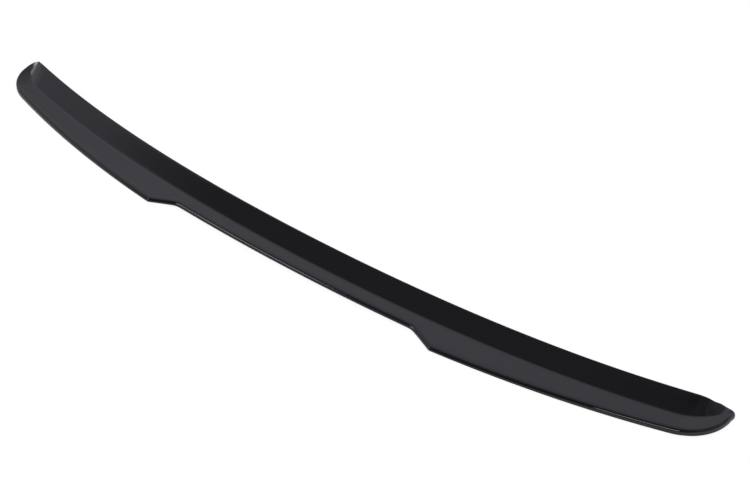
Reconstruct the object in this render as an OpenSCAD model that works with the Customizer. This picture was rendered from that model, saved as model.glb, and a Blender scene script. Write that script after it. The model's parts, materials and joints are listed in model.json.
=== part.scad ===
// Lip spoiler for a car body, moulded in one piece as a thin shell that is open beneath.
// Seen from above it is a crescent: a flange with a shallow relief cut into the middle of its
// outer edge, then a crease, then a lip that rises to a thin edge and runs out at both tips.
// The skin is one loft. Each section across the part is drawn flat, as distance along the
// section against height, and is then laid over four plan curves: near edge, crease, lip, foot.

/* [Overall] */
// Length from tip to tip
length = 1200; // [1050:10:1350]
// Thickness of the moulded wall
wall = 3; // [2:0.25:4]

/* [Plan] */
// How far the near edge has swept back at the tips
edge_bow = 92.2; // [60:0.2:110]
// Share of the near edge's sweep that is kept for its outer ends
edge_late = 0.15; // [0:0.01:0.4]
// How far the crease and the lip have swept back at the tips
lip_bow = 72.6; // [50:0.2:90]
// Share of the crease's and the lip's sweep that is kept for their outer ends
lip_late = 0.24; // [0:0.01:0.4]

/* [Flange] */
// Distance from the near edge's curve to the crease, on the centre line
flange_w = 41.9; // [34:0.1:48]
// Width of the flange that is left inside the relief
relief_flange = 19.9; // [16:0.1:26]
// Width of the relief between its inner corners
relief_w = 404; // [240:2:560]
// Length of the slanted flank at each side of the relief
relief_flank = 39; // [28:1:60]
// Radius of the relief's inner corners
relief_inner_r = 26; // [10:1:50]
// Radius of the relief's outer corners
relief_outer_r = 4; // [3:0.5:10]
// How far the underside of the flange's edge stands clear of the base inside the relief
relief_lift = 3; // [0:0.25:4]
// Height of the crease above the base
crease_h = 11.5; // [10:0.5:16]
// Slope of the flange down from the crease to its edge, in degrees
flange_fall = 10.5; // [4:0.5:11]
// Radius of the flange's top edge
edge_r = 4; // [2:0.25:5]
// How much further that rounding reaches over the flange than a circle of its radius does
edge_crown = 1.5; // [1:0.1:2]

/* [Lip] */
// Width of the rising face, from the crease to the lip's edge
lip_run = 24.7; // [18:0.1:30]
// Height of the lip's edge above the crease
lip_rise = 19.5; // [12:0.5:24]
// Radius in the crease
crease_r = 7; // [4:0.5:30]
// Radius of the lip's edge
lip_edge_r = 1.5; // [0.8:0.1:2.2]
// How far the foot of the back wall stands out behind the lip's edge
back_rake = 7; // [3:0.5:12]

/* [Ends] */
// Radius of the plan corner at each end
corner_r = 60; // [40:1:70]
// Direction of the short edge at each end, in degrees from the length
end_lean = 88; // [70:1:89]
// Length of the straight part of that edge
end_run = 13.5; // [8:0.5:28]
// Radius on which the crease turns towards the tip
crease_curl_r = 80; // [70:1:120]
// Height of the tips above the base
tip_h = 6.5; // [5:0.5:9]
// Width of the blunt tip
tip_w = 6; // [3:0.25:8]

/* [Underside] */
// Width of the bonding land along the near edge
edge_land = 8; // [6:0.5:10]
// Width of the bonding land along the back wall
back_land = 5; // [4:0.5:8]
// Number of stiffening ribs in each half
rib_count = 4; // [0:1:5]
// Thickness of a rib
rib_t = 2.5; // [1.5:0.25:3.5]
// Distance from rib to rib
rib_pitch = 120; // [90:5:120]
// How far the ribs stay above the base
rib_clear = 2; // [1:0.25:3]

/* [Hidden] */

half = length / 2;
corner_start_guess = half - 0.75 * corner_r;
corner_a = atan(slope_of_wing(corner_start_guess));
corner_x = half - corner_r * (sin(end_lean) - sin(corner_a)) - end_run * cos(end_lean);
// Where the sections leave the plane square to the length and start to fan round the end
fan_lead = 15;
fan_x = corner_x - fan_lead;
relief_in = relief_w / 2;
relief_out = relief_in + relief_flank;
// Share of the fan at which the hollow is closed by the end wall
hollow_end = 0.7;
// Direction across the blunt tip, and the places on it of the crease, the lip and the foot
tip_turn = 150;
crease_place = 0.35;
lip_place = 0.8;
foot_place = 0.2;
tip_groove = 0.2;
// How late in the fan the crease gives up its own course and height: the power of its share
drawn_late = 3;
crease_falls_late = 5;
// Share of the fan at which the lip starts to turn down to the tip
lip_turns = 0.47;
mould_draft = 0.3;
least_fillet = 0.3;
corner_steps = 4;
edge_steps = 5;
// Spacing of the sections
plan_step = 14;
flank_step = 6;
inner_corner_step = 2.2;
outer_corner_step = 1.1;
fan_step = 2.4;

function mix(a, b, t) = a + (b - a) * t;
function unit(v) = v / norm(v);
function bow(x, sag, late) = sag * ((1 - late) * pow(x / half, 2) + late * pow(x / half, 4));

// Plan curves of one half, from the centre line outwards. The near edge is the wing's curve,
// and inside the relief a line parallel to the crease, joined by a straight flank.
function wing_y(x) = bow(x, edge_bow, edge_late);
function slope_of_wing(x) = (wing_y(x + 1) - wing_y(x - 1)) / 2;
function crease_y(x) = flange_w + bow(x, lip_bow, lip_late);
function relief_y(x) = crease_y(x) - relief_flange;
function lip_y(x) = crease_y(x) + lip_run;
flank_slope = (wing_y(relief_out) - relief_y(relief_in)) / relief_flank;
function flank_y(x) = relief_y(relief_in) + flank_slope * (x - relief_in);
// The lower or the higher of two lines, with the corner where they cross rounded to a radius
function soft_low(a, b, r) = (a + b - sqrt(pow(a - b, 2) + pow(r * pow(flank_slope, 2) / 2, 2))) / 2;
function soft_high(a, b, r) = a + b - soft_low(a, b, r);
function near_y(x) =
    soft_high(wing_y(x), soft_low(relief_y(x), flank_y(x), relief_inner_r), relief_outer_r);
// How far the near edge has moved from the wing's curve to the relief's: 0 on a wing, 1 inside
function relief_share(x) = x > relief_out + relief_outer_r ? 0
    : min(1, (near_y(x) - wing_y(x)) / (relief_y(x) - wing_y(x)));

// Near edge round the end: on along the wing, round the plan corner, then straight to the tip
lead_len = fan_lead / cos(corner_a);
arc_len = corner_r * (end_lean - corner_a) * PI / 180;
end_len = lead_len + arc_len + end_run;
function turned(start, r, from, to) = start + r * [sin(to) - sin(from), cos(from) - cos(to)];
corner_p = [corner_x, near_y(corner_x)];
corner_q = turned(corner_p, corner_r, corner_a, end_lean);
function on_lead(x) = [x, near_y(x)];
function near_end(d) =
    d < lead_len ? on_lead(mix(fan_x, corner_x, d / lead_len))
    : d < lead_len + arc_len
        ? turned(corner_p, corner_r, corner_a, corner_a + (d - lead_len) / corner_r * 180 / PI)
    : corner_q + (d - lead_len - arc_len) * [cos(end_lean), sin(end_lean)];
tip = near_end(end_len);
tip_dir = [cos(tip_turn), sin(tip_turn)];

// The other three curves end beside the tip: each keeps its own course and is drawn over
// to its place across the blunt tip, by a share that runs from 0 to 1
function drawn(p, last, place, share) = p + (tip + tip_dir * tip_w * place - last) * share;
function crease_share(v) = pow(v, drawn_late);
function lip_share(v) = let (u = max(0, (v - lip_turns) / (1 - lip_turns))) u * u * (3 - 2 * u);
curl_a = atan((crease_y(fan_x + 1) - crease_y(fan_x - 1)) / 2);
curl_b = asin(min(0.95, sin(curl_a) + (half - tip_w - fan_x) / crease_curl_r));
function crease_end(v) = turned([fan_x, crease_y(fan_x)], crease_curl_r, curl_a, mix(curl_a, curl_b, v));
function lip_end(v) = [mix(fan_x, half, v), lip_y(mix(fan_x, half, v))];

// Plan points and heights of the section at station s, which runs from -half to half
function fan(s) = max(0, (abs(s) - fan_x) / (half - fan_x));
function sided(s, p) = [s < 0 ? -p.x : p.x, p.y];
function near_at(s) = fan(s) == 0 ? [s, near_y(abs(s))] : sided(s, near_end(fan(s) * end_len));
function crease_at(s) = fan(s) == 0 ? [s, crease_y(s)]
    : sided(s, drawn(crease_end(fan(s)), crease_end(1), crease_place, crease_share(fan(s))));
function lip_at(s) = fan(s) == 0 ? [s, lip_y(s)]
    : sided(s, drawn(lip_end(fan(s)), lip_end(1), lip_place, lip_share(fan(s))));
function lip_z(s) = mix(crease_h + lip_rise, tip_h, lip_share(fan(s)));
function crease_z(s) = mix(crease_h, tip_h - tip_groove, pow(fan(s), crease_falls_late));
function foot_at(s) =
    let (rake = back_rake * lip_z(s) / (crease_h + lip_rise))
    lip_at(s) + [0, mix(rake, foot_place * tip_w, lip_share(fan(s)))];

// Points of a corner between two straight lines, rounded to radius r where there is room:
// a circular arc, written as a weighted curve that still holds where the lines are in line.
// The second side can reach further than the first, which crowns that side.
function rounded(before, corner, after, r, steps, room = 0.45, reach = 1) =
    let (a = unit(before - corner),
         b = unit(after - corner),
         half_angle = acos(max(-1, a * b)) / 2,
         d = max(r / tan(half_angle), least_fillet),
         first = corner + a * min(d, room * norm(before - corner)),
         last = corner + b * min(reach * d, 0.45 * norm(after - corner)),
         weight = sin(half_angle))
    [for (i = [0 : steps])
        let (t = i / steps, p = pow(1 - t, 2), q = 2 * weight * t * (1 - t), u = pow(t, 2))
        (p * first + q * corner + u * last) / (p + q + u)];

// The point that lies one wall inside a corner of the section
function inside_corner(before, corner, after, side) =
    let (a = unit(before - corner), b = unit(after - corner))
    corner + side * unit(a + b) * wall / sin(acos(a * b) / 2);

function is_rib(s) = len([for (i = [1 : 1 : rib_count])
    if (abs(abs(s) - rib_pitch * (i - 0.5)) < rib_t / 2 - mould_draft / 2) i]) > 0;

// One section, drawn flat: [distance along the section, height above the base]
function section(s, e, c, t, f) =
    let (w1 = norm(c - e), w2 = w1 + norm(t - c), w3 = w2 + norm(f - t),
         lift = relief_lift * relief_share(abs(s)),
         heel = [0, lift], toe = [w3, 0],
         crease = [w1, crease_z(s)],
         edge = [0, crease_z(s) - tan(flange_fall) * w1],
         lip = [w2, lip_z(s)],
         land = min(edge_land, 0.25 * w3),
         back = min(back_land, 0.2 * w3),
         under_lip = inside_corner(crease, lip, toe, 1),
         under_crease = inside_corner(edge, crease, lip, -1),
         under_flange = mix(edge, crease, (land + mould_draft) / w1) - [0, wall],
         roof = [under_lip, under_crease, under_flange],
         open = fan(s) < hollow_end)
    concat(
        [heel],
        rounded(heel, edge, crease, edge_r, edge_steps, 0.9, edge_crown),
        [mix(edge, crease, 0.5)],
        rounded(edge, crease, lip, crease_r, corner_steps),
        [mix(crease, lip, 0.5)],
        rounded(crease, lip, toe, lip_edge_r, corner_steps),
        [toe, [w3 - back, 0]],
        !open ? [for (k = [0.95, 0.5, 0.05]) [mix(land, w3 - back, k), 0]]
        : is_rib(s) ? [for (p = roof) [p.x, min(rib_clear, 0.6 * p.y)]]
        : roof,
        [[land, lift]]
    );

// The same section laid over its four plan points
function laid(s) =
    let (e = near_at(s), c = crease_at(s), t = lip_at(s), f = foot_at(s),
         w1 = norm(c - e), w2 = w1 + norm(t - c))
    [for (p = section(s, e, c, t, f))
        let (q = p.x < w1 ? e + unit(c - e) * p.x
                : p.x < w2 ? c + unit(t - c) * (p.x - w1)
                : t + unit(f - t) * (p.x - w2))
        [q.x, q.y, p.y]];

// Stations of one half: close together round the relief's corners, each rib and the end
function spaced(from, to, step) = let (n = max(1, round((to - from) / step)))
    [for (i = [0 : n - 1]) mix(from, to, i / n)];
inner_from = relief_in - relief_inner_r / 2;
inner_to = relief_in + relief_inner_r / 2;
outer_from = relief_out - relief_outer_r * 1.4;
outer_to = relief_out + relief_outer_r * 1.4;
plain_stations = concat(
    spaced(0, inner_from, plan_step),
    spaced(inner_from, inner_to, inner_corner_step),
    spaced(inner_to, outer_from, flank_step),
    spaced(outer_from, outer_to, outer_corner_step),
    spaced(outer_to, fan_x, plan_step),
    spaced(fan_x, half, fan_step),
    [half]);
rib_stations = [for (i = [1 : 1 : rib_count], side = [-1, 1], k = [0.5 * rib_t, 0.5 * rib_t - mould_draft])
    rib_pitch * (i - 0.5) + side * k];
hollow_stop = mix(fan_x, half, hollow_end);
end_stations = [hollow_stop - mould_draft / 2, hollow_stop + mould_draft / 2];
special = concat(rib_stations, end_stations);
function clear_of(s, taken, gap) = len([for (t = taken) if (abs(s - t) < gap) t]) == 0;
function sorted(list) = len(list) < 2 ? list
    : let (p = list[floor(len(list) / 2)])
      concat(sorted([for (v = list) if (v < p) v]), [p], sorted([for (v = list) if (v > p) v]));
kept_stations = [for (s = plain_stations) if (s == 0 || clear_of(s, special, rib_t / 2)) s];
half_stations = sorted(concat(kept_stations, special));
stations = concat([for (i = [len(half_stations) - 1 : -1 : 1]) -half_stations[i]], half_stations);

rings = [for (s = stations) laid(s)];
across = len(rings[0]);
last_ring = len(rings) - 1;
ys = [for (r = rings, p = r) p.y];
middle_y = (min(ys) + max(ys)) / 2;
function cap_centre(ring) = [ring[0].x, mix(ring[0].y, ring[across - 5].y, 0.4), tip_h / 2];

module spoiler() {
    skin_faces = [for (j = [0 : last_ring - 1], i = [0 : across - 1])
        let (a = j * across + i, b = j * across + (i + 1) % across)
        each [[a, b + across, a + across], [a, b, b + across]]];
    first_cap = [for (i = [0 : across - 1]) [len(rings) * across, (i + 1) % across, i]];
    last_cap = [for (i = [0 : across - 1])
        [len(rings) * across + 1, last_ring * across + i, last_ring * across + (i + 1) % across]];
    color("#17171a")
        translate([0, -middle_y, 0])
            polyhedron(
                points = concat([for (r = rings) each r], [cap_centre(rings[0]), cap_centre(rings[last_ring])]),
                faces = concat(skin_faces, first_cap, last_cap),
                convexity = 10);
}

spoiler();
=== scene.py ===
import json
import math

import bpy
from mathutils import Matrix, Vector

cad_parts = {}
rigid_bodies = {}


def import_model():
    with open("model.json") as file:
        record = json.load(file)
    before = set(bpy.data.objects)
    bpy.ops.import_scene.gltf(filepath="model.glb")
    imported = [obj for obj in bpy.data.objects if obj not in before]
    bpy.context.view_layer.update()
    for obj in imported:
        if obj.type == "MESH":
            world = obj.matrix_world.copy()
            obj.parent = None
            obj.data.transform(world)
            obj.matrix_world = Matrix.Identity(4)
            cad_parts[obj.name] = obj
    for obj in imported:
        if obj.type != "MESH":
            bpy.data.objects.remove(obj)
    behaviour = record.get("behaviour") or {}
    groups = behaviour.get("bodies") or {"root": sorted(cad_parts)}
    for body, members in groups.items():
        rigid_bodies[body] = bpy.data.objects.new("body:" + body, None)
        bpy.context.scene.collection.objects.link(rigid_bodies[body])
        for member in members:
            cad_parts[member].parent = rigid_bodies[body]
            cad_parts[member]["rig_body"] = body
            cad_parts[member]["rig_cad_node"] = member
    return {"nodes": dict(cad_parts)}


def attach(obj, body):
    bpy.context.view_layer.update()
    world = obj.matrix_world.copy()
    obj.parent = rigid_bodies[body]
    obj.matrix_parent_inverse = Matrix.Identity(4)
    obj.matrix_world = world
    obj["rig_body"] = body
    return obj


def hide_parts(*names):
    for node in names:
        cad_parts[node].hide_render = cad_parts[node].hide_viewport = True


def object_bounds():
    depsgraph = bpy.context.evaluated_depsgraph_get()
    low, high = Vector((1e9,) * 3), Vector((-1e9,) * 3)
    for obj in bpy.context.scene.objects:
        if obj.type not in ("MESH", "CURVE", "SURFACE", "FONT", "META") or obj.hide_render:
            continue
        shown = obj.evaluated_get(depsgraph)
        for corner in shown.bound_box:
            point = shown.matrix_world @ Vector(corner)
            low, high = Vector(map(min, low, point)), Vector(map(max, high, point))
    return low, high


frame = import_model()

cad_box = [list(corner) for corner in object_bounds()]

# Spoiler. One thin moulding in ABS plastic, open beneath, held to the car's panel by the bonding
# land all round. Its form comes from the CAD body. Here it is rounded off to the smooth skin that
# leaves the tool.
moulding = frame["nodes"]["spoiler"].copy()
moulding.data = moulding.data.copy()
moulding.name = moulding.data.name = "spoiler_moulding"
# The copy is a piece of its own, so the CAD node's marks come off
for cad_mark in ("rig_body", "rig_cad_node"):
    if cad_mark in moulding:
        del moulding[cad_mark]
moulding.parent = None
bpy.context.scene.collection.objects.link(moulding)

# Bends between neighbouring faces: within one flat face, at an edge that stays sharp, and at one
# that is shaded sharp
flat_bend, edge_bend, shaded_bend = math.radians(12), math.radians(30), math.radians(24)
bpy.ops.object.select_all(action="DESELECT")
moulding.select_set(True)
bpy.context.view_layer.objects.active = moulding
bpy.ops.object.mode_set(mode="EDIT")
bpy.ops.mesh.select_all(action="SELECT")
bpy.ops.mesh.remove_doubles(threshold=0.00001)
bpy.ops.mesh.tris_convert_to_quads(face_threshold=flat_bend, shape_threshold=math.radians(90))
bpy.ops.mesh.select_mode(type="EDGE")
bpy.ops.mesh.select_all(action="DESELECT")
bpy.ops.mesh.edges_select_sharp(sharpness=edge_bend)
bpy.ops.transform.edge_crease(value=1.0)
bpy.ops.object.mode_set(mode="OBJECT")
rounding = moulding.modifiers.new("rounding", "SUBSURF")
rounding.levels = rounding.render_levels = 1
bpy.ops.object.modifier_apply(modifier="rounding")

# Both ends are shaped alike. The lip turns down to the tip in one full curve, and the flange's
# edge is thickest there. Places are in mm: from the nearer tip, towards the lip, and up.
half_length = cad_box[1][0] * 1000
# The flange's edge runs round the end on an arc that touches the tip
end_radius, end_centre_y = 60, 55


def grip(held):
    """Opens the moulding for editing with only the points chosen by held(from_tip, y, z)."""
    bpy.ops.object.mode_set(mode="EDIT")
    bpy.ops.mesh.select_mode(type="VERT")
    bpy.ops.mesh.select_all(action="DESELECT")
    bpy.ops.object.mode_set(mode="OBJECT")
    for point in moulding.data.vertices:
        x, y, z = [place * 1000 for place in point.co]
        point.select = held(half_length - abs(x), y, z)
    bpy.ops.object.mode_set(mode="EDIT")


def push(held, move, reach):
    """Moves the chosen points, and those within reach of them by less and less. In mm."""
    grip(held)
    bpy.ops.transform.translate(value=[step / 1000 for step in move], use_proportional_edit=True,
                                proportional_edit_falloff="SMOOTH", proportional_size=reach / 1000)
    bpy.ops.object.mode_set(mode="OBJECT")


def even_out(held, in_height=True):
    """Draws each chosen point towards the middle of its neighbours, three times over.

    Its height stays as it is where in_height is False.
    """
    grip(held)
    bpy.ops.mesh.vertices_smooth(factor=0.5, repeat=3, zaxis=in_height)
    bpy.ops.object.mode_set(mode="OBJECT")


def lip_corner(from_tip, y, z):
    """The top of the lip, where it starts to turn down."""
    return 21 < from_tip < 29 and z > 22


def lip_end(from_tip, y, z):
    """The back of the lip's last steep stretch, down to the tip."""
    return 8 < from_tip < 17 and y > 54 and z > 8


def end_rim(from_tip, y, z):
    """The outermost 2 mm of the flange, where its edge runs round the end."""
    from_centre = math.hypot(end_radius - from_tip, y - end_centre_y)
    return from_tip < 28 and y < 58 and z > 5 and from_centre > end_radius - 2


push(lip_corner, move=(0, 0.4, -1.0), reach=12)
push(lip_end, move=(0, 2.1, 1.3), reach=12)
push(end_rim, move=(0, 0, 1.0), reach=22)
for lip_start in (36, 32, 28):
    even_out(lambda from_tip, y, z: from_tip < lip_start and z > 12)
even_out(lambda from_tip, y, z: from_tip < 7 and y > 56, in_height=False)
bpy.ops.object.shade_smooth_by_angle(angle=shaded_bend)

# The core side of the tool makes the faces that look down, and those in the hollow, from which a
# ray meets the moulding again. Its lengths are in metres.
bpy.context.view_layer.update()
ray_gap, ray_length = 0.0002, 0.4
looks_down = -0.2
core_side = moulding.data.attributes.new("core_side", "FLOAT", "FACE")
for face in moulding.data.polygons:
    start = face.center + face.normal * ray_gap
    meets_itself = moulding.ray_cast(start, face.normal, distance=ray_length)[0]
    core_side.data[face.index].value = float(meets_itself or face.normal.z < looks_down)


def linear(hex_colour):
    """Linear value of an sRGB hex colour."""
    parts = [int(hex_colour[i:i + 2], 16) / 255 for i in (1, 3, 5)]
    return [c / 12.92 if c <= 0.04045 else ((c + 0.055) / 1.055) ** 2.4 for c in parts] + [1.0]


def add_node(tree, kind, settings=(), links=()):
    """A node with its settings, and links from other nodes' outputs to its inputs."""
    node = tree.nodes.new(kind)
    for name, value in dict(settings).items():
        if isinstance(name, int) or name in node.inputs:
            node.inputs[name].default_value = value
        else:
            setattr(node, name, value)
    for name, output in dict(links).items():
        tree.links.new(output, node.inputs[name])
    return node


# Gloss black ABS, injection moulded against a polished cavity. The eye sees a near-black body
# under a clear mirror skin, with the faint waves of the melt's flow. The core side, which no
# one sees, is left as the tool was spark-eroded: a fine, dull grain.
gloss_abs = bpy.data.materials.new("gloss_black_abs")
gloss_abs.use_nodes = True
tree = gloss_abs.node_tree
tree.nodes.clear()
place = add_node(tree, "ShaderNodeTexCoord")
core = add_node(tree, "ShaderNodeAttribute", {"attribute_name": "core_side"})
# Flow waves, in mm: longer along the part than across it, and some hundredths of a mm high
wave_along, wave_across = 25, 8
stretched = add_node(tree, "ShaderNodeMapping", {"Scale": (wave_across / wave_along, 1.0, 1.0)},
                     {"Vector": place.outputs["Object"]})
flow = add_node(tree, "ShaderNodeTexNoise",
                {"Scale": 1000 / wave_across, "Detail": 1.0, "Roughness": 0.4},
                {"Vector": stretched.outputs["Vector"]})
waves = add_node(tree, "ShaderNodeBump", {"Strength": 0.05, "Distance": 0.0004},
                 {"Height": flow.outputs[0]})
# Polish: clouds of slightly finer and coarser gloss, 40 mm wide
cloud_width = 40
polish = add_node(tree, "ShaderNodeTexNoise",
                  {"Scale": 1000 / cloud_width, "Detail": 3.0, "Roughness": 0.6},
                  {"Vector": place.outputs["Object"]})
polish_gloss = add_node(tree, "ShaderNodeMapRange",
                        {"From Min": 0.3, "From Max": 0.7, "To Min": 0.035, "To Max": 0.075},
                        {"Value": polish.outputs[0]})
# Spark-eroded grain: 0.8 mm wide, which is twice the real width, so that it shows
grain_width = 0.8
grain = add_node(tree, "ShaderNodeTexNoise",
                 {"Scale": 1000 / grain_width, "Detail": 2.0, "Roughness": 0.5},
                 {"Vector": place.outputs["Object"]})
grain_gloss = add_node(tree, "ShaderNodeMapRange",
                       {"From Min": 0.3, "From Max": 0.7, "To Min": 0.38, "To Max": 0.5},
                       {"Value": grain.outputs[0]})
grain_depth = add_node(tree, "ShaderNodeMath", {"operation": "MULTIPLY", 1: 0.35},
                       {0: core.outputs["Fac"]})
skin_relief = add_node(tree, "ShaderNodeBump", {"Distance": 0.0001},
                       {"Strength": grain_depth.outputs[0], "Height": grain.outputs[0],
                        "Normal": waves.outputs["Normal"]})
# Body colour and gloss: near black and polished in sight, a shade paler and dull on the core side
gloss = add_node(tree, "ShaderNodeMix", {"data_type": "FLOAT"},
                 {0: core.outputs["Fac"], 2: polish_gloss.outputs[0], 3: grain_gloss.outputs[0]})
body = add_node(tree, "ShaderNodeMix",
                {"data_type": "RGBA", 6: linear("#121214"), 7: linear("#1c1c1e")},
                {0: core.outputs["Fac"]})
skin = add_node(tree, "ShaderNodeBsdfPrincipled", {"IOR": 1.53},
                {"Base Color": body.outputs[2], "Roughness": gloss.outputs[0],
                 "Normal": skin_relief.outputs["Normal"]})
add_node(tree, "ShaderNodeOutputMaterial", links={"Surface": skin.outputs["BSDF"]})
moulding.data.materials.clear()
moulding.data.materials.append(gloss_abs)

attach(moulding, "root")
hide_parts("spoiler")

# Floor. A plain white table top, lit from all round, so that the part's shadow on it is only
# a breath. On top of the light it catches, it glows nearly white to the camera, and half as much
# to gloss surfaces.
floor_size, floor_gap = 16.0, 0.0005
bpy.ops.object.select_all(action="DESELECT")
bpy.ops.mesh.primitive_plane_add(size=floor_size, location=(0.0, 0.0, -floor_gap))
floor = bpy.context.object
floor.name = "white_floor"
floor_white = bpy.data.materials.new("white_floor")
floor_white.use_nodes = True
tree = floor_white.node_tree
tree.nodes.clear()
shown = add_node(tree, "ShaderNodeBsdfDiffuse", {"Color": linear("#e6e6e6")})
path = add_node(tree, "ShaderNodeLightPath")
for ray, glow_strength, matt_colour in (("Is Glossy Ray", 0.45, "#cbcbcb"),
                                        ("Is Camera Ray", 0.91, "#7c7c7c")):
    glow = add_node(tree, "ShaderNodeEmission", {"Strength": glow_strength})
    matt = add_node(tree, "ShaderNodeBsdfDiffuse", {"Color": linear(matt_colour)})
    white = add_node(tree, "ShaderNodeAddShader", links={0: glow.outputs[0], 1: matt.outputs[0]})
    shown = add_node(tree, "ShaderNodeMixShader",
                     links={0: path.outputs[ray], 1: shown.outputs[0], 2: white.outputs[0]})
add_node(tree, "ShaderNodeOutputMaterial", links={"Surface": shown.outputs[0]})
floor.data.materials.append(floor_white)

# Studio. A pale, slightly cool room with a black cloth hung over its front and a dim corner
# behind the part's left, so that a gloss surface shows a mid grey where it faces the room and
# near black where it faces the cloth.
world = bpy.data.worlds.new("studio")
bpy.context.scene.world = world
world.use_nodes = True
tree = world.node_tree
tree.nodes.clear()
place = add_node(tree, "ShaderNodeTexCoord")
cloth_rise = math.radians(35)
# Each lies off one way. Its greys run from 0, for a ray square to that way, to 1, for one
# straight along it.
hangings = {
    "cloth": ((0.0, -math.cos(cloth_rise), math.sin(cloth_rise)),
              ((0.0, 0.92), (0.20, 0.90), (0.28, 0.79), (0.45, 0.62), (0.61, 0.58),
               (0.68, 0.31), (0.73, 0.20), (0.91, 0.20), (0.96, 0.08))),
    "corner": ((-0.5, 0.866, 0.0), ((0.0, 1.0), (0.55, 1.0), (0.60, 0.82), (0.70, 0.62), (0.80, 0.4))),
    "left wall": ((-0.94, 0.342, 0.0), ((0.0, 1.0), (0.80, 1.0), (0.96, 0.55))),
    "right wall": ((0.874, 0.123, 0.469), ((0.0, 1.0), (0.70, 1.0), (0.92, 0.42))),
}
greys = {}
for hanging, (way, shades) in hangings.items():
    facing = add_node(tree, "ShaderNodeVectorMath", {"operation": "DOT_PRODUCT", 1: way},
                      {0: place.outputs["Generated"]})
    grading = add_node(tree, "ShaderNodeValToRGB", links={0: facing.outputs["Value"]})
    stops = grading.color_ramp.elements
    while len(stops) < len(shades):
        stops.new(1.0)
    for stop, (share, grey) in zip(stops, shades):
        stop.position, stop.color = share, (grey, grey, grey, 1.0)
    greys[hanging] = grading.outputs["Color"]

cool_tint = (0.96, 0.97, 1.09)
seen = add_node(tree, "ShaderNodeVectorMath", {"operation": "MULTIPLY", 1: cool_tint},
                {0: greys["cloth"]})
for hanging in ("left wall", "right wall"):
    seen = add_node(tree, "ShaderNodeVectorMath", {"operation": "MULTIPLY"},
                    {0: seen.outputs[0], 1: greys[hanging]})
room = add_node(tree, "ShaderNodeBackground",
                links={"Color": seen.outputs[0], "Strength": greys["corner"]})
backdrop = add_node(tree, "ShaderNodeBackground", {"Color": linear("#ffffff"), "Strength": 1.0})
path = add_node(tree, "ShaderNodeLightPath")
both = add_node(tree, "ShaderNodeMixShader",
                links={0: path.outputs["Is Camera Ray"], 1: room.outputs[0], 2: backdrop.outputs[0]})
add_node(tree, "ShaderNodeOutputWorld", links={"Surface": both.outputs[0]})

# Softboxes. Two narrow ones stand in front, aimed at the part. Only the rolled edge of the
# flange turns far enough down to mirror them, as one thin bright line along each wing.
softbox_distance, softbox_depth = 3.0, 0.6
watts_per_metre = 11.0
for name, azimuth, height, width in (("left_softbox", -43.5, 2.0, 1.05),
                                     ("right_softbox", 15.0, 2.2, 1.0)):
    softbox_data = bpy.data.lights.new(name, "AREA")
    softbox_data.shape = "RECTANGLE"
    softbox_data.size, softbox_data.size_y = width, softbox_depth
    softbox_data.energy = watts_per_metre * width
    softbox = bpy.data.objects.new(name, softbox_data)
    turn = math.radians(azimuth)
    dip = math.atan(height / softbox_distance)
    softbox.location = (softbox_distance * math.sin(turn), -softbox_distance * math.cos(turn), height)
    softbox.rotation_euler = (math.radians(90) - dip, 0.0, turn)
    bpy.context.scene.collection.objects.link(softbox)

# Camera. The spoiler is seen from its relieved edge, turned 39 degrees round from square-on and
# from 38 degrees above, through a long lens.
camera_turn, camera_dip = math.radians(39.335), math.radians(38.31)
camera_data = bpy.data.cameras.new("studio_camera")
camera_data.sensor_fit = "HORIZONTAL"
camera_data.sensor_width = 36.0
camera_data.lens = 103.2
camera_data.clip_start = 0.05
camera_data.clip_end = 60.0
camera = bpy.data.objects.new("studio_camera", camera_data)
camera.location = (1.4631, -1.6643, 1.7463)
camera.rotation_euler = (math.radians(90) - camera_dip, 0.0, camera_turn)
bpy.context.scene.collection.objects.link(camera)
bpy.context.scene.camera = camera
bpy.context.scene.view_settings.view_transform = "Standard"
